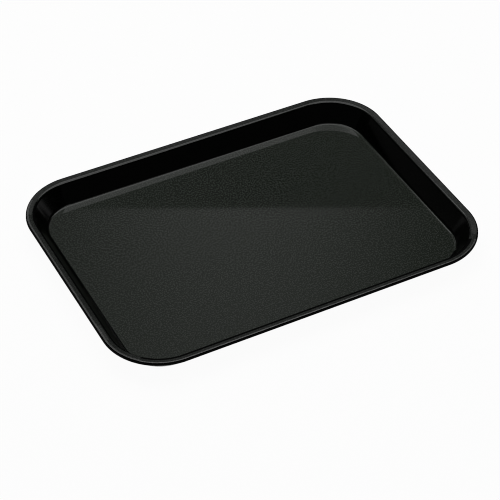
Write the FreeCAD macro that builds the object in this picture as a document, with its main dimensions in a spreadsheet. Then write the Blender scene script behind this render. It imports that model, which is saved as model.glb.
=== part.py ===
"""Moulded serving tray with reinforcing rods in its rim, as a parametric document.

The tray stands on its flat underside. The origin is the middle of that underside, +X runs
along the long side, +Y to the back and +Z up. All sizes are millimetres and degrees.

Wall, cove and rim are one section, swept once round the outer edge, so every contour of the
tray is an offset of the same rounded rectangle. The floor is a plate inside that ring, and the
rods lie in closed channels in the thick bead of the rim, one along each straight side.
"""
import FreeCAD, Part
import os
from math import cos, radians, sin, tan

import Sketcher
from FreeCAD import Vector

# alias, value, what it measures
SIZES = [
    ("tray_length", 410.0, "outside length over the rim, along X"),
    ("tray_width", 302.0, "outside width over the rim, along Y"),
    ("tray_height", 24.2, "underside of the floor to the top of the rim"),
    ("corner_radius", 60.0, "outside corner of the rim, seen from above"),
    ("wall_thickness", 3.0, "thickness of the floor and of the sloping wall"),
    ("wall_angle", 58.0, "slope of the wall from horizontal"),
    ("cove_radius", 4.5, "inside radius between the floor and the wall"),
    ("rim_width", 6.0, "outer edge to where the rim's top rolls into the wall"),
    ("rim_slope", 8.0, "fall of the rim's top towards the inside"),
    ("rim_roll_radius", 4.5, "roll from the rim's top into the wall"),
    ("rim_edge_radius", 1.5, "round along the rim's outer top edge"),
    ("bead_height", 3.8, "height of the rim bead at its outer face"),
    ("bead_draft", 4.0, "lean of the bead's outer face, widest at the bottom"),
    ("bead_foot_radius", 1.0, "round along the bead's outer bottom edge"),
    ("underside_fillet", 2.5, "fillet between the bead's underside and the wall"),
    ("rod_diameter", 2.0, "reinforcing rod"),
    ("rod_bond_gap", 0.05, "resin line between a rod and its channel, all round"),
    ("rod_inset", 4.0, "outer edge of the rim to the middle of a rod"),
    ("rod_drop", 0.2, "middle of the bead's height down to the middle of a rod"),
    ("rod_end_margin", 2.0, "end of a rod to where the rim's corner begins"),
]

# places on a sketch curve: its start, its end and an arc's centre
START, END, CENTRE = 1, 2, 3
# the sketch's horizontal axis as a curve, and its origin as a curve and a place
HORIZONTAL_AXIS = -1
ORIGIN = (-1, 1)
SKETCH_NORMAL = Vector(0, 0, 1)

# where the middle of each rod lies, as expressions of the sizes
ROD_HEIGHT = "sizes.tray_height - sizes.bead_height / 2 - sizes.rod_drop"
ROD_FROM_MIDDLE_X = "sizes.tray_length / 2 - sizes.rod_inset"
ROD_FROM_MIDDLE_Y = "sizes.tray_width / 2 - sizes.rod_inset"
LONG_ROD_LENGTH = "sizes.tray_length - 2 * sizes.corner_radius - 2 * sizes.rod_end_margin"
SHORT_ROD_LENGTH = "sizes.tray_width - 2 * sizes.corner_radius - 2 * sizes.rod_end_margin"

doc = FreeCAD.newDocument("serving_tray")


def make_size_sheet():
    """Every driving size in one sheet: what it measures, its value and its alias."""
    sheet = doc.addObject("Spreadsheet::Sheet", "sizes")
    for row, (alias, value, meaning) in enumerate(SIZES, start=1):
        sheet.set(f"A{row}", meaning)
        sheet.set(f"B{row}", str(value))
        sheet.setAlias(f"B{row}", alias)
    doc.recompute()
    return sheet


sizes = make_size_sheet()


# --- helpers -------------------------------------------------------------------------------

def new_body(label):
    body = doc.addObject("PartDesign::Body", label)
    body.Label = label
    return body


def origin_plane(body, role):
    """The link to one of the body's own origin planes, such as XY_Plane."""
    plane = next(item for item in body.Origin.OriginFeatures if item.Role == role)
    return plane, [""]


def new_sketch(body, name, role):
    sketch = body.newObject("Sketcher::SketchObject", name)
    sketch.AttachmentSupport = origin_plane(body, role)
    sketch.MapMode = "FlatFace"
    return sketch


def direction(degrees):
    """The unit vector at this angle in a sketch."""
    return Vector(cos(radians(degrees)), sin(radians(degrees)))


def line(sketch, start, end):
    return sketch.addGeometry(Part.LineSegment(start, end), False)


def arc(sketch, centre, radius, first, last):
    """An arc that runs anticlockwise from one angle to another, in degrees."""
    circle = Part.Circle(centre, SKETCH_NORMAL, radius)
    return sketch.addGeometry(Part.ArcOfCircle(circle, radians(first), radians(last)), False)


def constrain(sketch, kind, *places):
    return sketch.addConstraint(Sketcher.Constraint(kind, *places))


def drive(sketch, name, expression, kind, *places):
    """A named dimension of the sketch that follows an expression."""
    index = constrain(sketch, kind, *places)
    sketch.renameConstraint(index, name)
    sketch.setExpression(f"Constraints.{name}", expression)


def check_sketch(sketch):
    """A curve that is free to move could end up elsewhere when a size changes."""
    doc.recompute()
    if sketch.solve() != 0 or not sketch.FullyConstrained:
        raise RuntimeError(f"sketch {sketch.Label} isn't fully constrained")


# --- the moulding --------------------------------------------------------------------------

def rounded_rectangle(body, name, length, width, radius):
    """A rounded rectangle round the origin, seen from above, its sizes given as expressions."""
    # the size it is drawn at; the dimensions at the end then take over
    half_x, half_y, corner = 200.0, 150.0, 50.0
    mid_x = half_x - corner
    mid_y = half_y - corner

    sketch = new_sketch(body, name, "XY_Plane")
    front = line(sketch, Vector(-mid_x, -half_y), Vector(mid_x, -half_y))
    front_right = arc(sketch, Vector(mid_x, -mid_y), corner, 270, 360)
    right = line(sketch, Vector(half_x, -mid_y), Vector(half_x, mid_y))
    back_right = arc(sketch, Vector(mid_x, mid_y), corner, 0, 90)
    back = line(sketch, Vector(mid_x, half_y), Vector(-mid_x, half_y))
    back_left = arc(sketch, Vector(-mid_x, mid_y), corner, 90, 180)
    left = line(sketch, Vector(-half_x, mid_y), Vector(-half_x, -mid_y))
    front_left = arc(sketch, Vector(-mid_x, -mid_y), corner, 180, 270)

    loop = [front, front_right, right, back_right, back, back_left, left, front_left]
    for curve, following in zip(loop, loop[1:] + loop[:1]):
        constrain(sketch, "Tangent", curve, END, following, START)
    for side in (front, back):
        constrain(sketch, "Horizontal", side)
    for side in (left, right):
        constrain(sketch, "Vertical", side)
    for other_corner in (front_right, back_right, back_left):
        constrain(sketch, "Equal", front_left, other_corner)
    constrain(sketch, "Symmetric", front_left, CENTRE, back_right, CENTRE, *ORIGIN)

    drive(sketch, "length", length, "DistanceX", left, START, right, START, 2 * half_x)
    drive(sketch, "width", width, "DistanceY", front, START, back, START, 2 * half_y)
    drive(sketch, "radius", radius, "Radius", front_left, corner)
    check_sketch(sketch)
    return sketch


def wall_section(body):
    """The section of cove, wall and rim bead, drawn across the back side of the tray.

    The sketch's horizontal axis is the tray's Y, so outwards is to the right. Every curve is
    drawn where its sizes put it, and the constraints then hold it there.
    """
    wall = sizes.wall_thickness
    cove = sizes.cove_radius
    roll = sizes.rim_roll_radius
    edge = sizes.rim_edge_radius
    foot = sizes.bead_foot_radius
    fillet = sizes.underside_fillet
    slope = sizes.wall_angle
    rim_slope = sizes.rim_slope
    draft = sizes.bead_draft
    outer_y = sizes.tray_width / 2
    bead_bottom = sizes.tray_height - sizes.bead_height

    # these point out of the material, from the tray's inside, the rim's top and the bead
    wall_normal = direction(90 + slope)
    rim_normal = direction(90 + rim_slope)
    bead_normal = direction(draft)

    def centre_at(height, normal, reach):
        """The point at this height that lies this far along the normal from the origin."""
        return Vector((reach - height * normal.y) / normal.x, height)

    # the bead's outer face touches the foot round below and the edge round above
    foot_centre = Vector(outer_y - foot, bead_bottom + foot)
    bead_reach = foot_centre.dot(bead_normal) + foot
    edge_centre = centre_at(sizes.tray_height - edge, bead_normal, bead_reach - edge)
    rim_outer = edge_centre + rim_normal * edge
    rim_inner = Vector(outer_y - sizes.rim_width, rim_outer.y)
    rim_inner.y -= (rim_outer.x - rim_inner.x) * tan(radians(rim_slope))

    # the roll turns the rim's top into the wall, and the cove turns the wall into the floor
    roll_centre = rim_inner - rim_normal * roll
    inside_reach = roll_centre.dot(wall_normal) + roll
    cove_centre = centre_at(wall + cove, wall_normal, inside_reach + cove)
    fillet_centre = centre_at(bead_bottom - fillet, wall_normal, inside_reach - wall - fillet)

    sketch = new_sketch(body, "wall_section", "YZ_Plane")
    floor_end = line(sketch, Vector(cove_centre.x, 0), Vector(cove_centre.x, wall))
    cove_arc = arc(sketch, cove_centre, cove, -90, slope - 90)
    wall_inside = line(sketch, cove_centre - wall_normal * cove, roll_centre + wall_normal * roll)
    roll_arc = arc(sketch, roll_centre, roll, 90 + rim_slope, 90 + slope)
    rim_top = line(sketch, rim_inner, rim_outer)
    edge_arc = arc(sketch, edge_centre, edge, draft, 90 + rim_slope)
    bead_face = line(sketch, foot_centre + bead_normal * foot, edge_centre + bead_normal * edge)
    foot_arc = arc(sketch, foot_centre, foot, -90, draft)
    bead_underside = line(sketch, fillet_centre + Vector(0, fillet), foot_centre - Vector(0, foot))
    fillet_arc = arc(sketch, fillet_centre, fillet, 90, 90 + slope)
    wall_outside = line(sketch, cove_centre - wall_normal * (cove + wall),
                        fillet_centre + wall_normal * fillet)
    heel_arc = arc(sketch, cove_centre, cove + wall, -90, slope - 90)

    # round the section, each curve runs smoothly into the next
    for curve, place, following, its_place in (
        (cove_arc, END, wall_inside, START),
        (wall_inside, END, roll_arc, END),
        (roll_arc, START, rim_top, START),
        (rim_top, END, edge_arc, END),
        (edge_arc, START, bead_face, END),
        (bead_face, START, foot_arc, END),
        (foot_arc, START, bead_underside, END),
        (bead_underside, START, fillet_arc, START),
        (fillet_arc, END, wall_outside, END),
        (wall_outside, START, heel_arc, END),
    ):
        constrain(sketch, "Tangent", curve, place, following, its_place)
    # apart from the flat end, where the floor plate joins on
    constrain(sketch, "Perpendicular", floor_end, END, cove_arc, START)
    constrain(sketch, "Perpendicular", floor_end, START, heel_arc, START)
    constrain(sketch, "Vertical", floor_end)
    constrain(sketch, "PointOnObject", floor_end, START, HORIZONTAL_AXIS)
    constrain(sketch, "Horizontal", bead_underside)
    constrain(sketch, "Parallel", wall_inside, wall_outside)

    drive(sketch, "floor_thickness", "sizes.wall_thickness",
          "DistanceY", floor_end, START, floor_end, END, wall)
    drive(sketch, "heel_radius", "sizes.cove_radius + sizes.wall_thickness",
          "Radius", heel_arc, cove + wall)
    drive(sketch, "cove_radius", "sizes.cove_radius", "Radius", cove_arc, cove)
    drive(sketch, "roll_radius", "sizes.rim_roll_radius", "Radius", roll_arc, roll)
    drive(sketch, "edge_radius", "sizes.rim_edge_radius", "Radius", edge_arc, edge)
    drive(sketch, "foot_radius", "sizes.bead_foot_radius", "Radius", foot_arc, foot)
    drive(sketch, "fillet_radius", "sizes.underside_fillet", "Radius", fillet_arc, fillet)
    drive(sketch, "wall_angle", "sizes.wall_angle * 1 deg", "Angle", wall_inside, radians(slope))
    drive(sketch, "rim_slope", "sizes.rim_slope * 1 deg", "Angle", rim_top, radians(rim_slope))
    drive(sketch, "bead_lean", "90 deg + sizes.bead_draft * 1 deg",
          "Angle", bead_face, radians(90 + draft))
    drive(sketch, "rim_height", "sizes.tray_height - sizes.rim_edge_radius",
          "DistanceY", *ORIGIN, edge_arc, CENTRE, edge_centre.y)
    drive(sketch, "bead_bottom", "sizes.tray_height - sizes.bead_height",
          "DistanceY", *ORIGIN, bead_underside, END, bead_bottom)
    drive(sketch, "outer_edge", "sizes.tray_width / 2 - sizes.bead_foot_radius",
          "DistanceX", *ORIGIN, foot_arc, CENTRE, foot_centre.x)
    drive(sketch, "rim_inner", "sizes.tray_width / 2 - sizes.rim_width",
          "DistanceX", *ORIGIN, rim_top, START, rim_inner.x)
    check_sketch(sketch)

    # read off the section, for the floor plate: from the tray's middle to the cove
    reading = constrain(sketch, "DistanceX", *ORIGIN, floor_end, START, cove_centre.x)
    sketch.setDriving(reading, False)
    sketch.renameConstraint(reading, "floor_half_width")
    return sketch


def add_wall_and_rim(body):
    """The section swept round the outer edge of the rim."""
    outline = rounded_rectangle(body, "rim_outline", "sizes.tray_length", "sizes.tray_width",
                                "sizes.corner_radius")
    ring = body.newObject("PartDesign::AdditivePipe", "wall_and_rim")
    ring.Profile = (wall_section(body), [""])
    ring.Spine = (outline, [""])


def add_floor(body):
    """The flat plate that fills the ring. Its outline is as far inside the rim's all round."""
    half_width = "wall_section.Constraints.floor_half_width / 1 mm"
    outline = rounded_rectangle(
        body, "floor_outline",
        f"sizes.tray_length - sizes.tray_width + 2 * {half_width}",
        f"2 * {half_width}",
        f"sizes.corner_radius - sizes.tray_width / 2 + {half_width}")
    floor = body.newObject("PartDesign::Pad", "floor_plate")
    floor.Profile = (outline, [""])
    floor.setExpression("Length", "sizes.wall_thickness")


def circle_sketch(body, name, role, across, height, radius):
    """A circle on one of the body's upright planes, its place and radius as expressions."""
    sketch = new_sketch(body, name, role)
    start_across, start_height, start_radius = 100.0, 10.0, 1.0
    circle = sketch.addGeometry(
        Part.Circle(Vector(start_across, start_height), SKETCH_NORMAL, start_radius), False)
    drive(sketch, "across", across, "DistanceX", *ORIGIN, circle, CENTRE, start_across)
    drive(sketch, "height", height, "DistanceY", *ORIGIN, circle, CENTRE, start_height)
    drive(sketch, "radius", radius, "Radius", circle, start_radius)
    check_sketch(sketch)
    return sketch


def add_rod_channels(body, name, section_plane, mirror_plane, from_middle, rod_length):
    """A closed channel for a rod along one side of the bead, and its mirror image opposite."""
    sketch = circle_sketch(body, f"{name}_section", section_plane, from_middle, ROD_HEIGHT,
                           "sizes.rod_diameter / 2 + sizes.rod_bond_gap")
    channel = body.newObject("PartDesign::Pocket", name)
    channel.Profile = (sketch, [""])
    channel.SideType = "Symmetric"
    channel.setExpression("Length", f"{rod_length} + 2 * sizes.rod_bond_gap")
    pair = body.newObject("PartDesign::Mirrored", f"{name}_pair")
    pair.Originals = [channel]
    pair.MirrorPlane = origin_plane(body, mirror_plane)
    body.Tip = pair
    doc.recompute()


def make_tray_body():
    """The whole moulding: wall and rim, floor, and the channels that the rods lie in."""
    body = new_body("tray_body")
    add_wall_and_rim(body)
    add_floor(body)
    add_rod_channels(body, "long_channel", "YZ_Plane", "XZ_Plane",
                     ROD_FROM_MIDDLE_Y, LONG_ROD_LENGTH)
    add_rod_channels(body, "short_channel", "XZ_Plane", "YZ_Plane",
                     ROD_FROM_MIDDLE_X, SHORT_ROD_LENGTH)
    return body


# --- the reinforcing rods ------------------------------------------------------------------

def make_rod(label, section_plane, rod_length, across_axis, across):
    """A straight rod, made about its own middle and placed in the bead by its Placement."""
    body = new_body(label)
    sketch = new_sketch(body, f"{label}_section", section_plane)
    circle = sketch.addGeometry(Part.Circle(Vector(), SKETCH_NORMAL, 1.0), False)
    constrain(sketch, "Coincident", circle, CENTRE, *ORIGIN)
    drive(sketch, "radius", "sizes.rod_diameter / 2", "Radius", circle, 1.0)
    check_sketch(sketch)
    rod = body.newObject("PartDesign::Pad", f"{label}_length")
    rod.Profile = (sketch, [""])
    rod.SideType = "Symmetric"
    rod.setExpression("Length", rod_length)
    body.setExpression(f"Placement.Base.{across_axis}", across)
    body.setExpression("Placement.Base.z", ROD_HEIGHT)
    return body


def make_rods():
    """One rod along each straight side of the rim."""
    rods = []
    for side, sign in (("front", "-1"), ("back", "1")):
        rods.append(make_rod(f"rim_rod_{side}", "YZ_Plane", LONG_ROD_LENGTH,
                             "y", f"{sign} * ({ROD_FROM_MIDDLE_Y})"))
    for side, sign in (("left", "-1"), ("right", "1")):
        rods.append(make_rod(f"rim_rod_{side}", "XZ_Plane", SHORT_ROD_LENGTH,
                             "x", f"{sign} * ({ROD_FROM_MIDDLE_X})"))
    return rods


# --- checks and files ----------------------------------------------------------------------

def check_document():
    """No object of the document may have failed."""
    for item in doc.Objects:
        if "Invalid" in item.State or "Error" in item.State:
            raise RuntimeError(f"{item.Label} failed: {item.State}")


def check_piece(body):
    """Each piece is one valid solid."""
    shape = body.Shape
    if shape.isNull() or not shape.isValid() or len(shape.Solids) != 1:
        raise RuntimeError(f"{body.Label} isn't one valid solid")


pieces = [make_tray_body()] + make_rods()
doc.recompute()
check_document()
os.makedirs("parts", exist_ok=True)
for piece in pieces:
    check_piece(piece)
    piece.Shape.exportStep(f"parts/{piece.Label}.step")
    box = piece.Shape.optimalBoundingBox()
    print(f"{piece.Label}: {box.XLength:.2f} x {box.YLength:.2f} x {box.ZLength:.2f} mm, "
          f"z {box.ZMin:.2f} to {box.ZMax:.2f}, {piece.Shape.Volume / 1000:.2f} cm3")
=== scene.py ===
# %% [markdown]
# # A black moulded serving tray
#
# This script is a lesson in cells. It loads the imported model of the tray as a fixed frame, gives it
# the look of the real thing, and sets up a plain studio with one camera. Everything is in metres:
# +X runs along the tray's long side, +Y to its back and +Z up, and the tray stands on z = 0.
#
# The tray's overall sizes are read from the frame, so the new skin can't drift away from it. The view
# transform is Standard, at which a colour renders about as it is written.

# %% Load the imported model
from math import atan2, cos, degrees, pi, radians, sin, tan

import bmesh
import bpy
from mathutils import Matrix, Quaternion, Vector


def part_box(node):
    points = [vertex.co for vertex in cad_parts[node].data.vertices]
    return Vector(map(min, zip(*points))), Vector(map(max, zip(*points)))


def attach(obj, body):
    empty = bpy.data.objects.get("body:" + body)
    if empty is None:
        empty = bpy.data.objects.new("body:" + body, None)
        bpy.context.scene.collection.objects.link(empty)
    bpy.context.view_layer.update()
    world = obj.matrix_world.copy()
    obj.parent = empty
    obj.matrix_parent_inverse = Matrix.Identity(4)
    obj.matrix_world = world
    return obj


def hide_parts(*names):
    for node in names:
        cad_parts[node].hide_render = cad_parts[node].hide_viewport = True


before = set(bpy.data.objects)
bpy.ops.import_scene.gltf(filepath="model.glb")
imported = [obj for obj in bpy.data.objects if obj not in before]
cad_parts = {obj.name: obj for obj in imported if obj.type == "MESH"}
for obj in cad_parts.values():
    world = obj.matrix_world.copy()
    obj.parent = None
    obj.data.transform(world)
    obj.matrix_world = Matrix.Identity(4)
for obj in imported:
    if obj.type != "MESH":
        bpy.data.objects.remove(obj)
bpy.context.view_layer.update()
scene = bpy.context.scene
scene.view_settings.view_transform = "Standard"

MM = 0.001
low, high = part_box("tray_body")
LENGTH = high.x - low.x
WIDTH = high.y - low.y
HEIGHT = high.z
print(f"tray: {LENGTH / MM:.1f} x {WIDTH / MM:.1f} x {HEIGHT / MM:.1f} mm")
print("pieces in the frame:", sorted(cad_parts))

# %% [markdown]
# ## The camera
#
# The camera looks down on the tray from in front and to the left, through a long lens. A long lens
# far away keeps the tray's sides almost parallel, which is how a catalogue shows such a product.
# Its place is given as a direction and a distance from a point near the middle of the tray, because
# these are easier to read and to change than a position and three angles.
#
# Cycles spreads each sample over a few pixels, by a filter that is 1.5 pixels wide unless it is told
# otherwise. A narrower one keeps the specks and the thin lines along the rim crisp.

# %% Aim the camera
LOOK_AZIMUTH = radians(27.22)    # from +Y towards +X
LOOK_DOWN = radians(41.46)
TILT = radians(-0.29)            # about the line of sight
VIEW_DISTANCE = 1.847
LENS_MM = 129.9
AIM = Vector((-0.0077, -0.0133, -0.0043))
FILTER_PIXELS = 1.0


def direction(azimuth, elevation):
    """The unit vector that points this way: azimuth 0 is +Y and grows towards +X."""
    level = cos(elevation)
    return Vector((sin(azimuth) * level, cos(azimuth) * level, sin(elevation)))


def place_camera():
    """A camera at VIEW_DISTANCE that looks at AIM."""
    lens = bpy.data.cameras.new("camera")
    lens.lens = LENS_MM
    camera = bpy.data.objects.new("camera", lens)
    scene.collection.objects.link(camera)
    look = direction(LOOK_AZIMUTH, -LOOK_DOWN)
    camera.location = AIM - look * VIEW_DISTANCE
    turned = look.to_track_quat("-Z", "Y") @ Quaternion((0, 0, 1), TILT)
    camera.rotation_euler = turned.to_euler()
    scene.camera = camera
    return camera


camera = place_camera()
scene.cycles.filter_width = FILTER_PIXELS
print("camera at", [round(value, 3) for value in camera.location])

# %% [markdown]
# ## A few helpers for nodes
#
# Every finish below is made of shader nodes, which can be added by hand in the Shader editor or, as
# here, by name. Two short helpers keep the recipes readable: one adds a node and sets its options and
# its sockets, where a socket can be given a plain value or another node's output, and the other does
# one step of arithmetic.

# %% Node helpers
def add_node(tree, kind, inputs=None, **options):
    """A new node of this kind. Each input is a value, or the output of another node to link."""
    node = tree.nodes.new(f"ShaderNode{kind}")
    for name, value in options.items():
        setattr(node, name, value)
    for name, value in (inputs or {}).items():
        if isinstance(value, bpy.types.NodeSocket):
            tree.links.new(value, node.inputs[name])
        else:
            node.inputs[name].default_value = value
    return node


def maths(tree, operation, first, second=0.0):
    """The result of one step of arithmetic on values or outputs."""
    return add_node(tree, "Math", {0: first, 1: second}, operation=operation).outputs[0]


def grey(level):
    """A neutral colour."""
    return (level, level, level, 1.0)


# %% [markdown]
# ## The stage
#
# The tray lies on plain white. A floor that is white on camera only because the lamps are strong would
# also bleach the product. So the Light Path node is used instead: camera rays and reflections mostly
# see an even white, and all other light meets ordinary pale paint. The small share of paint in what
# the camera sees keeps the tray's soft shadow on the floor.

# %% Mix the stage's paint
FLOOR_PAINT = 0.8
WHITE_SHARE = 0.96


def stage_paint():
    """Pale paint that the camera and reflections see as nearly even white."""
    material = bpy.data.materials.new("stage_white")
    material.use_nodes = True
    tree = material.node_tree
    tree.nodes.clear()
    path = add_node(tree, "LightPath")
    seen = maths(tree, "MAXIMUM", path.outputs["Is Camera Ray"], path.outputs["Is Glossy Ray"])
    seen = maths(tree, "MAXIMUM", seen, path.outputs["Is Transmission Ray"])
    share = maths(tree, "MULTIPLY", seen, WHITE_SHARE)
    paint = add_node(tree, "BsdfDiffuse", {"Color": grey(FLOOR_PAINT)})
    white = add_node(tree, "Emission", {"Color": grey(1.0), "Strength": 1.0})
    mix = add_node(tree, "MixShader", {0: share, 1: paint.outputs[0], 2: white.outputs[0]})
    add_node(tree, "OutputMaterial", {"Surface": mix.outputs[0]})
    return material


stage_white = stage_paint()
print("stage paint:", stage_white.name)

# %% [markdown]
# The stage itself is a wide disc whose edge is turned up in a large round, so that a low view from any
# side ends on white too. The disc's rim is extruded upwards, and the sharp edge that this leaves is
# bevelled.

# %% Build the stage
FLOOR_RADIUS = 8.0
FLOOR_LIP = 0.9
FLOOR_ROUND = 0.6
FLOOR_ROUND_STEPS = 8
FLOOR_SEGMENTS = 96


def mesh_object(name, mesh):
    """A new object at the origin from a bmesh, which is freed."""
    data = bpy.data.meshes.new(name)
    mesh.to_mesh(data)
    mesh.free()
    thing = bpy.data.objects.new(name, data)
    scene.collection.objects.link(thing)
    return thing


def make_stage():
    """A disc with its edge turned up in a round."""
    mesh = bmesh.new()
    bmesh.ops.create_circle(mesh, cap_ends=True, segments=FLOOR_SEGMENTS, radius=FLOOR_RADIUS)
    edge = [side for side in mesh.edges if side.is_boundary]
    raised = bmesh.ops.extrude_edge_only(mesh, edges=edge)["geom"]
    top = [item for item in raised if isinstance(item, bmesh.types.BMVert)]
    bmesh.ops.translate(mesh, verts=top, vec=(0, 0, FLOOR_LIP))
    bmesh.ops.bevel(mesh, geom=edge, offset=FLOOR_ROUND, offset_type="OFFSET",
                    segments=FLOOR_ROUND_STEPS, profile=0.5, affect="EDGES", material=-1)
    for face in mesh.faces:
        face.smooth = True
    stage = mesh_object("stage_floor", mesh)
    stage.data.materials.append(stage_white)
    return stage


stage = make_stage()
print("stage faces:", len(stage.data.polygons))

# %% [markdown]
# ## The lamps
#
# A black, slightly glossy tray shows hardly any colour of its own: what is seen on it is the studio,
# mirrored in its skin. Two softboxes hang level above it. The one overhead lights the specks and the
# rim. The other is weaker and further back, where the flat floor mirrors it to the camera, and its
# straight far edge draws the line between the bright floor and the darker band behind. Area lamps are
# right for this, because their shape shows in reflections.
#
# An area lamp's power is spread over its surface, so a helper works out the watts from the brightness
# that the lamp should have. The lamp at the back also fades: to nothing at its two sides, so that no
# hard line runs across the tray, and to a little over half at its near edge.

# %% Hang the softboxes
LAMP_HEIGHT = 1.4
AWAY = Vector((sin(LOOK_AZIMUTH), cos(LOOK_AZIMUTH), 0))      # level, away from the camera
ACROSS = Vector((cos(LOOK_AZIMUTH), -sin(LOOK_AZIMUTH), 0))   # level, to the camera's right
NEAR_EDGE_SHARE = 0.6                                         # of the brightness at the far edge


def hang_softbox(name, away, across, brightness):
    """A level lamp that covers these ranges away from the camera and across its view."""
    depth = away[1] - away[0]
    width = across[1] - across[0]
    light = bpy.data.lights.new(name, "AREA")
    light.shape = "RECTANGLE"
    light.size = width
    light.size_y = depth
    light.energy = brightness * pi * width * depth
    lamp = bpy.data.objects.new(name, light)
    scene.collection.objects.link(lamp)
    lamp.location = (AWAY * (away[0] + away[1]) + ACROSS * (across[0] + across[1])) / 2
    lamp.location.z = LAMP_HEIGHT
    lamp.rotation_euler.z = -LOOK_AZIMUTH
    lamp.visible_camera = False
    return lamp


def fade_lamp(lamp):
    """The lamp fades to nothing at its sides and to NEAR_EDGE_SHARE at its near edge."""
    lamp.data.use_nodes = True
    tree = lamp.data.node_tree
    # Parametric runs from 0 to 1 across the lamp and from its near edge to its far edge
    place = add_node(tree, "NewGeometry").outputs["Parametric"]
    parts = add_node(tree, "SeparateXYZ", {0: place}).outputs
    side = maths(tree, "SUBTRACT", maths(tree, "MULTIPLY", parts["X"], 2.0), 1.0)
    middle = maths(tree, "SUBTRACT", 1.0, maths(tree, "MULTIPLY", side, side))
    middle = maths(tree, "MULTIPLY", middle, middle)
    rise = maths(tree, "MULTIPLY", parts["Y"], 1 - NEAR_EDGE_SHARE)
    far = maths(tree, "ADD", NEAR_EDGE_SHARE, rise)
    strength = maths(tree, "MULTIPLY", middle, far)
    tree.links.new(strength, tree.nodes["Emission"].inputs["Strength"])


fade_lamp(hang_softbox("softbox_back", away=(1.05, 1.70), across=(-0.56, 0.52), brightness=0.57))
hang_softbox("softbox_overhead", away=(-0.30, 1.15), across=(-0.70, 0.66), brightness=2.8)
print("softboxes hung at", LAMP_HEIGHT, "m")

# %% [markdown]
# ## The room
#
# The room is nearly dark, but for a soft glow high behind the tray, which the rounds of the rim mirror
# as thin lines. The glow is a lobe in the world's light: the dot product of each direction with the
# glow's own direction tells how near the two are, and a power narrows it. Towards the horizon a smooth
# step takes the glow away. The room behind the camera is dark too, and that is partly why the tray's
# inner walls look black; the rest is painted shade in their colour.

# %% Light the room
ROOM_LEVEL = 0.012
GLOW_LEVEL = 0.40
GLOW_POWER = 5.0
GLOW_TOWARDS = direction(radians(0), radians(30))
GLOW_LOWEST = sin(radians(16))
GLOW_FULL = sin(radians(27))


def light_room():
    """A world that is dim all round, with one soft glow above the horizon."""
    world = bpy.data.worlds.new("studio")
    world.use_nodes = True
    scene.world = world
    tree = world.node_tree
    way = add_node(tree, "TexCoord").outputs["Generated"]
    facing = add_node(tree, "VectorMath", {0: way, 1: GLOW_TOWARDS}, operation="DOT_PRODUCT")
    lobe = maths(tree, "POWER", maths(tree, "MAXIMUM", facing.outputs["Value"], 0.0), GLOW_POWER)
    tall = add_node(tree, "SeparateXYZ", {0: way}).outputs["Z"]
    above = add_node(tree, "MapRange", {"Value": tall, "From Min": GLOW_LOWEST,
                                        "From Max": GLOW_FULL}, interpolation_type="SMOOTHSTEP")
    lobe = maths(tree, "MULTIPLY", lobe, above.outputs[0])
    level = maths(tree, "ADD", maths(tree, "MULTIPLY", lobe, GLOW_LEVEL), ROOM_LEVEL)
    background = tree.nodes["Background"]
    background.inputs["Color"].default_value = grey(1.0)
    tree.links.new(level, background.inputs["Strength"])
    return world


light_room()
print("glow towards", [round(value, 2) for value in GLOW_TOWARDS])

# %% [markdown]
# ## The tray's section
#
# The tray is one moulding. Cut through one side, it is a strip: from the floor it turns up in the
# cove, climbs the sloping wall, rolls over into the rim's flat top, goes round the rim's outer edge,
# down the bead's face and back under it along the wall to the heel. All its turns are arcs, and all
# the rest are straight lines that touch them. So only the six arcs have to be placed.
#
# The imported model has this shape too, but as loose flat triangles. A glossy surface shows every one
# of them, so the skin is drawn again here, finer and evenly, on the same sizes.

# %% Sizes of the section
CORNER = 60 * MM         # outside corner of the rim, seen from above
SKIN = 3 * MM            # floor and wall
COVE = 4.5 * MM          # inside round between floor and wall
RIM_WIDTH = 6 * MM       # outer edge to where the rim rolls into the wall
ROLL = 4.5 * MM          # from the rim's top into the wall
EDGE = 1.5 * MM          # along the rim's outer top edge
BEAD_HEIGHT = 3.8 * MM
FOOT = 1 * MM
UNDER_FILLET = 2.5 * MM
WALL_SLOPE = radians(58)
RIM_FALL = radians(8)    # towards the inside
BEAD_DRAFT = radians(4)
UP = pi / 2


def heading(angle):
    """The unit vector at this angle in the section, where x is outwards and y is up."""
    return Vector((cos(angle), sin(angle)))


def touching(height, normal, reach):
    """The point at this height that lies this far along the normal."""
    return Vector(((reach - height * normal.y) / normal.x, height))


# %% [markdown]
# Each arc's centre follows from the straight lines that it touches. A line is kept as its normal and
# its distance from the section's origin along that normal, so an arc that touches it has its centre
# one radius further in or out.

# %% Place the arcs
COVE_STEPS = 16
ROLL_STEPS = 10
EDGE_STEPS = 12
FOOT_STEPS = 8
FILLET_STEPS = 8
HEEL_STEPS = 14


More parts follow.
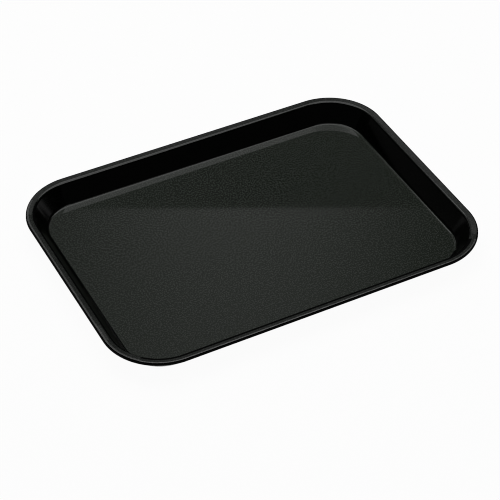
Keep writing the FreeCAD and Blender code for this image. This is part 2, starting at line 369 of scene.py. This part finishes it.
def section_arcs():
    """Each arc of the section in order: its centre, radius, first and last angle and steps."""
    outer = WIDTH / 2
    bead_bottom = HEIGHT - BEAD_HEIGHT
    wall_out = heading(UP + WALL_SLOPE)
    rim_out = heading(UP + RIM_FALL)
    bead_out = heading(BEAD_DRAFT)
    foot = Vector((outer - FOOT, bead_bottom + FOOT))
    edge = touching(HEIGHT - EDGE, bead_out, foot.dot(bead_out) + FOOT - EDGE)
    rim_end = edge + rim_out * EDGE
    rim_start = Vector((outer - RIM_WIDTH, rim_end.y))
    rim_start.y -= (rim_end.x - rim_start.x) * tan(RIM_FALL)
    roll = rim_start - rim_out * ROLL
    inside = roll.dot(wall_out) + ROLL
    cove = touching(SKIN + COVE, wall_out, inside + COVE)
    fillet = touching(bead_bottom - UNDER_FILLET, wall_out, inside - SKIN - UNDER_FILLET)
    return [
        (cove, COVE, -UP, WALL_SLOPE - UP, COVE_STEPS),
        (roll, ROLL, UP + WALL_SLOPE, UP + RIM_FALL, ROLL_STEPS),
        (edge, EDGE, UP + RIM_FALL, BEAD_DRAFT, EDGE_STEPS),
        (foot, FOOT, BEAD_DRAFT, -UP, FOOT_STEPS),
        (fillet, UNDER_FILLET, UP, UP + WALL_SLOPE, FILLET_STEPS),
        (cove, COVE + SKIN, WALL_SLOPE - UP, -UP, HEEL_STEPS),
    ]


arcs = section_arcs()
print(f"floor ends {arcs[0][0].x / MM:.2f} mm from the middle")

# %% [markdown]
# ## Drawing the section
#
# Each arc starts as a single vertex, which bmesh's spin operator turns about the arc's centre, and
# a straight line then joins it to the arc before. The rim's flat top is cut into narrow strips on the
# way, so that a finish can end part of the way across it.

# %% Helpers that draw the section
RIM_STRIPS = 10


def join(mesh, last, vertex, pieces):
    """A straight line between two vertices in equal pieces."""
    way = (vertex.co - last.co) / pieces
    for _ in range(pieces - 1):
        between = mesh.verts.new(last.co + way)
        mesh.edges.new((last, between))
        last = between
    mesh.edges.new((last, vertex))


def draw_section(mesh, x):
    """The section's arcs and straights, upright at this x across the back side."""
    last = None
    for centre, radius, first, end, steps in arcs:
        middle = Vector((x, centre.x, centre.y))
        start = centre + heading(first) * radius
        vertex = bmesh.ops.create_vert(mesh, co=(x, start.x, start.y))["vert"][0]
        if last:
            join(mesh, last, vertex, RIM_STRIPS if radius == EDGE else 1)
        turned = bmesh.ops.spin(mesh, geom=[vertex], cent=middle, axis=(1, 0, 0),
                                angle=end - first, steps=steps)
        last = next(item for item in turned["geom_last"] if isinstance(item, bmesh.types.BMVert))
    return list(mesh.edges)


# %% [markdown]
# ## Sweeping it round the tray
#
# The section stands across the back side, at one end of its straight part. Extrude carries it along
# the straight, and spin turns it round the corner's own centre: four times this, and it is back where
# it began, where merging doubles closes the ring. That leaves the floor open above and below. Each
# opening is one loop of edges, which becomes one flat face, and an inset gives it a narrow flat
# border, so that the cove's shading can't leak into the floor.

# %% Helpers that sweep it
CORNER_STEPS = 40
FLOOR_BORDER = 3 * MM
MERGE = 0.02 * MM


def push(mesh, edges, way, pieces):
    """The edges extruded this way in equal pieces. Returns the last ones."""
    for _ in range(pieces):
        new = bmesh.ops.extrude_edge_only(mesh, edges=edges)["geom"]
        bmesh.ops.translate(mesh, verts=[item for item in new if isinstance(item, bmesh.types.BMVert)],
                            vec=way / pieces)
        edges = [item for item in new if isinstance(item, bmesh.types.BMEdge)]
    return edges


def turn(mesh, edges, centre):
    """The edges spun a quarter turn clockwise, seen from above. Returns the last ones."""
    turned = bmesh.ops.spin(mesh, geom=edges, cent=centre, axis=(0, 0, -1), angle=pi / 2,
                            steps=CORNER_STEPS)
    return [item for item in turned["geom_last"] if isinstance(item, bmesh.types.BMEdge)]


def close_floor(mesh):
    """The two open loops as flat faces with a narrow border."""
    for height in (SKIN, 0):
        loop = [side for side in mesh.edges
                if side.is_boundary and abs(side.verts[0].co.z - height) < MERGE]
        face = bmesh.ops.contextual_create(mesh, geom=loop)["faces"]
        bmesh.ops.inset_region(mesh, faces=face, thickness=FLOOR_BORDER, use_even_offset=True)


# %% [markdown]
# The ring is made side by side and corner by corner: the long back side, the right side, the front
# and the left. The straights are cut into short pieces, so that the faces stay of a fair shape. At the
# end all normals are turned outwards, and no edge may be left open.

# %% Sweep the tray
LONG_PIECES = 14
SHORT_PIECES = 10


def sweep_tray():
    """The whole skin of the tray as one closed mesh."""
    half_x = LENGTH / 2 - CORNER
    half_y = WIDTH / 2 - CORNER
    mesh = bmesh.new()
    edges = draw_section(mesh, -half_x)
    for way, centre, pieces in (
        (Vector((2 * half_x, 0, 0)), (half_x, half_y, 0), LONG_PIECES),
        (Vector((0, -2 * half_y, 0)), (half_x, -half_y, 0), SHORT_PIECES),
        (Vector((-2 * half_x, 0, 0)), (-half_x, -half_y, 0), LONG_PIECES),
        (Vector((0, 2 * half_y, 0)), (-half_x, half_y, 0), SHORT_PIECES),
    ):
        edges = push(mesh, edges, way, pieces)
        edges = turn(mesh, edges, centre)
    bmesh.ops.remove_doubles(mesh, verts=mesh.verts, dist=MERGE)
    close_floor(mesh)
    bmesh.ops.recalc_face_normals(mesh, faces=mesh.faces)
    return mesh


tray_mesh = sweep_tray()
print("open edges:", sum(side.is_boundary for side in tray_mesh.edges), "faces:", len(tray_mesh.faces))

# %% [markdown]
# ## The moulded skin
#
# The tray is pressed from black glass-fibre polyester: a dark core full of fine pale specks, under
# a thin skin of clear resin. The shine comes from the resin, as a weak but sharp mirror, and that is
# what the Principled shader's coat is for. The core below hardly shines, so its specular level is
# near zero.
#
# The specks are a fine noise with its contrast raised, which blends a dark colour and a paler one,
# both a little green. The pebble of the mould is a Voronoi pattern of about a millimetre in the bump,
# and a much larger noise makes the core's roughness a little uneven. All patterns read Object
# coordinates, which are metres on the tray itself. What is the same all over is set on the shader's
# own sockets, because the export keeps it there.

# %% Helpers for skins
COLOUR_A, COLOUR_B, COLOUR_RESULT = 6, 7, 2      # a Mix node's sockets for colours
NOISE_LOW, NOISE_HIGH = 0.3, 0.7                 # nearly all of a noise lies between these


def new_material(name):
    """A material, its nodes and its Principled shader."""
    material = bpy.data.materials.new(name)
    material.use_nodes = True
    return material, material.node_tree, material.node_tree.nodes["Principled BSDF"]


def spread(tree, value, from_low, from_high, to_low, to_high):
    """The value, taken from one range to another and held inside it."""
    return add_node(tree, "MapRange", {"Value": value, "From Min": from_low, "From Max": from_high,
                                       "To Min": to_low, "To Max": to_high}).outputs[0]


def blend_colours(tree, share, first, second):
    """The first colour where the share is 0, and the second where it is 1."""
    node = add_node(tree, "Mix", {"Factor": share}, data_type="RGBA")
    node.inputs[COLOUR_A].default_value = (*first, 1.0)
    node.inputs[COLOUR_B].default_value = (*second, 1.0)
    return node.outputs[COLOUR_RESULT]


# %% [markdown]
# One recipe serves all the finishes of the moulding. What they differ in is how much resin lies over
# the core, how clear it is, how the core and its specks are coloured, and how much the core itself
# shines.

# %% Mix the skin
SPECKS_PER_METRE = 650
SPECK_FROM, SPECK_FULL = 0.51, 0.60              # the noise at which a speck begins and is full
PEBBLES_PER_METRE = 800
PEBBLE_REACH = 0.35
PEBBLE_DEPTH = 0.01 * MM
MOTTLE_PER_METRE = 25
RESIN_IOR = 1.3
CORE_SHINE = 0.02
CORE = (0.0018, 0.0055, 0.0014)
SPECK = (0.0222, 0.0262, 0.0217)


def speckled_skin(name, coat, core, speck, coat_roughness=0.03,
                  under=CORE_SHINE, roughness=(0.32, 0.42)):
    """Clear resin of this coat weight over a dark core with pale specks and its own shine."""
    material, tree, shader = new_material(name)
    place = add_node(tree, "TexCoord").outputs["Object"]
    fine = add_node(tree, "TexNoise", {"Vector": place, "Scale": SPECKS_PER_METRE, "Detail": 1.0})
    specks = spread(tree, fine.outputs[0], SPECK_FROM, SPECK_FULL, 0.0, 1.0)
    tree.links.new(blend_colours(tree, specks, core, speck), shader.inputs["Base Color"])
    mottle = add_node(tree, "TexNoise", {"Vector": place, "Scale": MOTTLE_PER_METRE, "Detail": 3.0})
    tree.links.new(spread(tree, mottle.outputs[0], NOISE_LOW, NOISE_HIGH, *roughness),
                   shader.inputs["Roughness"])
    pebble = add_node(tree, "TexVoronoi", {"Vector": place, "Scale": PEBBLES_PER_METRE})
    dimple = spread(tree, pebble.outputs["Distance"], 0.0, PEBBLE_REACH, 0.0, 1.0)
    bump = add_node(tree, "Bump", {"Height": dimple, "Strength": 0.5, "Distance": PEBBLE_DEPTH})
    tree.links.new(bump.outputs[0], shader.inputs["Normal"])
    shader.inputs["Specular IOR Level"].default_value = under
    shader.inputs["Coat Weight"].default_value = coat
    shader.inputs["Coat Roughness"].default_value = coat_roughness
    shader.inputs["Coat IOR"].default_value = RESIN_IOR
    return material


floor_skin = speckled_skin("moulding_skin", 1.0, CORE, SPECK)
print("skin:", floor_skin.name)

# %% [markdown]
# ## Where the skin differs
#
# One moulding doesn't look the same all over, and on a black one such differences are most of what
# the eye has to go by. The rim's top is rubbed to an even satin, with fainter specks. The outer strip
# of the front and the left rim is painted paler still, as a painted highlight where its outer round
# catches the lamps. The steep walls have almost no specks, and their near-black colour is painted
# shade. The left one is hazy, and the right and the front one are dull.
#
# The back wall is the glossiest. The floor mirrors it, and it mirrors the softbox overhead, so a pale
# strip runs along its foot on the floor.

# %% Mix the finishes of the rim and the walls
RIM_CORE = (0.0050, 0.0065, 0.0050)
RIM_SPECK = (0.0170, 0.0190, 0.0170)
# Painted highlight: the paler outer strip of the front and the left rim, where its outer round catches
# the lamps.
HIGHLIGHT_CORE = (0.0500, 0.0520, 0.0500)
HIGHLIGHT_SPECK = (0.0800, 0.0820, 0.0800)
# Painted shade: the steep walls take a near-black colour, far darker than the rest of the moulding.
WALL_SHADE_CORE = (0.0001, 0.0002, 0.0001)
WALL_SHADE_SPECK = (0.0010, 0.0014, 0.0010)

rim_skin = speckled_skin("rubbed_rim", 1.0, RIM_CORE, RIM_SPECK)
# The outer strip of the front and the left rim, painted paler as a painted highlight.
painted_highlight = speckled_skin("painted_highlight", 1.0, HIGHLIGHT_CORE, HIGHLIGHT_SPECK)
# The three walls share the near-black painted shade, and differ only in their coat.
left_wall = speckled_skin("hazy_left_wall", 0.45, WALL_SHADE_CORE, WALL_SHADE_SPECK, coat_roughness=0.15)
side_wall = speckled_skin("dull_side_wall", 0.15, WALL_SHADE_CORE, WALL_SHADE_SPECK, coat_roughness=0.12)
back_wall = speckled_skin("glossy_back_wall", 1.0, WALL_SHADE_CORE, WALL_SHADE_SPECK, under=0.5,
                          roughness=(0.06, 0.10))
print("finishes:", rim_skin.name, painted_highlight.name, left_wall.name, side_wall.name, back_wall.name)

# %% [markdown]
# ## The painted shade lines
#
# The rim's outer face, from partway round its outer edge down the bead, is painted black as painted
# shade, and so is the inner round of the front and the left rim, as a painted dark line. This finish
# has no coat: only one noise, which colours the grain, roughens it and gives it a slight bump.

# %% Mix the painted shade lines
SHADE_LINE_CORE = (0.0002, 0.0002, 0.0002)
SHADE_LINE_SPECK = (0.0020, 0.0021, 0.0020)
SHADE_LINE_ROUGHNESS = (0.55, 0.75)


def painted_shade_black():
    """Plain matt black with a fine grain: painted shade."""
    material, tree, shader = new_material("painted_shade_black")
    place = add_node(tree, "TexCoord").outputs["Object"]
    grain = add_node(tree, "TexNoise", {"Vector": place, "Scale": SPECKS_PER_METRE, "Detail": 3.0})
    colour = blend_colours(tree, grain.outputs[0], SHADE_LINE_CORE, SHADE_LINE_SPECK)
    tree.links.new(colour, shader.inputs["Base Color"])
    tree.links.new(spread(tree, grain.outputs[0], NOISE_LOW, NOISE_HIGH, *SHADE_LINE_ROUGHNESS),
                   shader.inputs["Roughness"])
    bump = add_node(tree, "Bump", {"Height": grain.outputs[0], "Strength": 0.4,
                                   "Distance": PEBBLE_DEPTH})
    tree.links.new(bump.outputs[0], shader.inputs["Normal"])
    shader.inputs["Specular IOR Level"].default_value = CORE_SHINE
    return material


shade_line = painted_shade_black()
print("finish:", shade_line.name)

# %% [markdown]
# ## Choosing each face's finish
#
# The finish of a face follows from where it lies in the section. Two measures tell that: how far its
# normal leans from upright towards the tray's inside, and how far it lies inside the rim's outer edge.
# The painted highlight and shade don't end at the same place on all four sides, because the light
# falls differently on each, so the limits are small tables by side.

# %% Limits of the finishes
RIM_DEPTH = 8 * MM       # from the rim's top to the lowest of its roll
WALL_LEAN = 50           # the back wall's gloss starts at this lean, above the cove
BACK_WALL_Y = 0.3        # it covers what faces this much to the back,
BACK_WALL_X = -0.1       # and no more than this to the left
COVE_LEAN = {"front": 10, "left": 10, "back": 27, "right": 32}     # floor ends, wall begins
ROLL_LEAN = {"front": 9, "left": 25, "back": 36, "right": 36}      # rim's top ends on its inside
EDGE_LEAN = {"front": 32, "left": 15, "back": 2, "right": 2}       # and on its outside
# The inner edge of the front rim's top is painted black too, as a painted dark line.
SHADE_LINE_INSET = RIM_WIDTH - 0.95 * MM                                 # front rim's top ends by here
# The width of the strip with the painted highlight on the front and the left rim.
HIGHLIGHT_INSET = {"front": 2.4 * MM, "left": 2.9 * MM}               # width of the polished strip


def outwards(place):
    """The level unit vector square to the rim nearest to this place."""
    core = Vector((max(-LENGTH / 2 + CORNER, min(place.x, LENGTH / 2 - CORNER)),
                   max(-WIDTH / 2 + CORNER, min(place.y, WIDTH / 2 - CORNER)), place.z))
    return (place - core).normalized()


def inset(place):
    """How far the place lies inside the rim's outer edge."""
    core_x = max(abs(place.x) - LENGTH / 2 + CORNER, 0)
    core_y = max(abs(place.y) - WIDTH / 2 + CORNER, 0)
    return CORNER - Vector((core_x, core_y)).length


def side_of(out):
    """Which side of the tray faces this way. A corner belongs half to each of its sides."""
    if abs(out.x) > abs(out.y):
        return "left" if out.x < 0 else "right"
    return "front" if out.y < 0 else "back"


# %% [markdown]
# With these measures the choice is a short list of questions. The floor's own finish also serves the
# outside and the underside, which are as they left the mould.

# %% Choose the finish of a face
# Of these, the paler rim strip is a painted highlight, and the walls and the black lines are painted
# shade.
FINISHES = [floor_skin, rim_skin, painted_highlight, left_wall, side_wall, back_wall, shade_line]
FLOOR, RIM, PAINTED_HIGHLIGHT, LEFT_WALL, SIDE_WALL, BACK_WALL, SHADE_LINE = range(len(FINISHES))


def finish_of(face):
    """The place in FINISHES of the finish that this face has."""
    middle = face.calc_center_median()
    out = outwards(middle)
    side = side_of(out)
    # The front and the left side face the camera: they take the painted highlight and a painted dark
    # line.
    near_camera_side = side in ("front", "left")
    lean = degrees(atan2(-face.normal.dot(out), face.normal.z))   # inwards
    if abs(lean) > 90 or middle.z < HEIGHT - RIM_DEPTH:
        if not COVE_LEAN[side] < lean < 90:
            return FLOOR
        # The steep walls: their near-black colour is painted shade.
        if out.y > BACK_WALL_Y and out.x > BACK_WALL_X and lean > WALL_LEAN:
            return BACK_WALL
        return LEFT_WALL if out.x < 0 else SIDE_WALL
    # The rim's inner round: a painted dark line on the front and the left, and the walls' painted
    # shade elsewhere.
    if lean > ROLL_LEAN[side] or (side == "front" and inset(middle) > SHADE_LINE_INSET):
        return SHADE_LINE if near_camera_side else SIDE_WALL
    # The rim's outer face down the bead is painted black as painted shade.
    if -lean > EDGE_LEAN[side]:
        return SHADE_LINE
    # The outer strip of the front and the left rim takes the painted highlight.
    return PAINTED_HIGHLIGHT if near_camera_side and inset(middle) < HIGHLIGHT_INSET[side] else RIM


# %% [markdown]
# ## The finished tray
#
# The new skin rides on the frame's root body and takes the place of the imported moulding. Smooth
# shading with a Weighted Normal modifier lets the large flat faces keep their true direction, and
# only the narrow faces of the rounds share their normals.

# %% Dress the tray
NORMALS_WEIGHT = 100     # the large faces decide


def dress_tray(mesh):
    """The tray's skin as an object with its finishes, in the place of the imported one."""
    for face in mesh.faces:
        face.smooth = True
        face.material_index = finish_of(face)
    tray = mesh_object("tray_skin", mesh)
    for finish in FINISHES:
        tray.data.materials.append(finish)
    normals = tray.modifiers.new("weighted_normals", "WEIGHTED_NORMAL")
    normals.weight = NORMALS_WEIGHT
    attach(tray, "root")
    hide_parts("tray_body")
    return tray


tray = dress_tray(tray_mesh)
for index, finish in enumerate(FINISHES):
    print(finish.name, sum(face.material_index == index for face in tray.data.polygons), "faces")

# %% [markdown]
# ## The reinforcing rods
#
# Four straight aluminium rods lie inside the rim and don't show. They still get a real finish, so
# that a cut through the rim looks right: drawn rod is bright, with fine scratches along its length.
# A noise that is stretched along the rod gives them, so the Mapping node shrinks that axis.

# %% Finish the rods
DRAWN_SCALE = {"long": (8, 900, 900), "short": (900, 8, 900)}      # along the rod and across it
DRAWN_DARK = (0.70, 0.71, 0.72)
DRAWN_BRIGHT = (0.84, 0.85, 0.86)
DRAWN_ROUGHNESS = (0.22, 0.42)
SCRATCH_DEPTH = 0.01 * MM


def drawn_aluminium(kind):
    """Bright metal with scratches along a long or a short rod."""
    material, tree, shader = new_material(f"drawn_aluminium_{kind}")
    place = add_node(tree, "TexCoord").outputs["Object"]
    stretched = add_node(tree, "Mapping", {"Vector": place, "Scale": DRAWN_SCALE[kind]}).outputs[0]
    scratch = add_node(tree, "TexNoise", {"Vector": stretched, "Scale": 2.0, "Detail": 4.0}).outputs[0]
    tree.links.new(blend_colours(tree, scratch, DRAWN_DARK, DRAWN_BRIGHT),
                   shader.inputs["Base Color"])
    tree.links.new(spread(tree, scratch, NOISE_LOW, NOISE_HIGH, *DRAWN_ROUGHNESS),
                   shader.inputs["Roughness"])
    bump = add_node(tree, "Bump", {"Height": scratch, "Strength": 0.3, "Distance": SCRATCH_DEPTH})
    tree.links.new(bump.outputs[0], shader.inputs["Normal"])
    shader.inputs["Metallic"].default_value = 1.0
    return material


for kind, sides in (("long", ("front", "back")), ("short", ("left", "right"))):
    finish = drawn_aluminium(kind)
    for side in sides:
        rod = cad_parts[f"rim_rod_{side}"]
        rod.data.materials.clear()
        rod.data.materials.append(finish)
        print(rod.name, "finished with", finish.name)
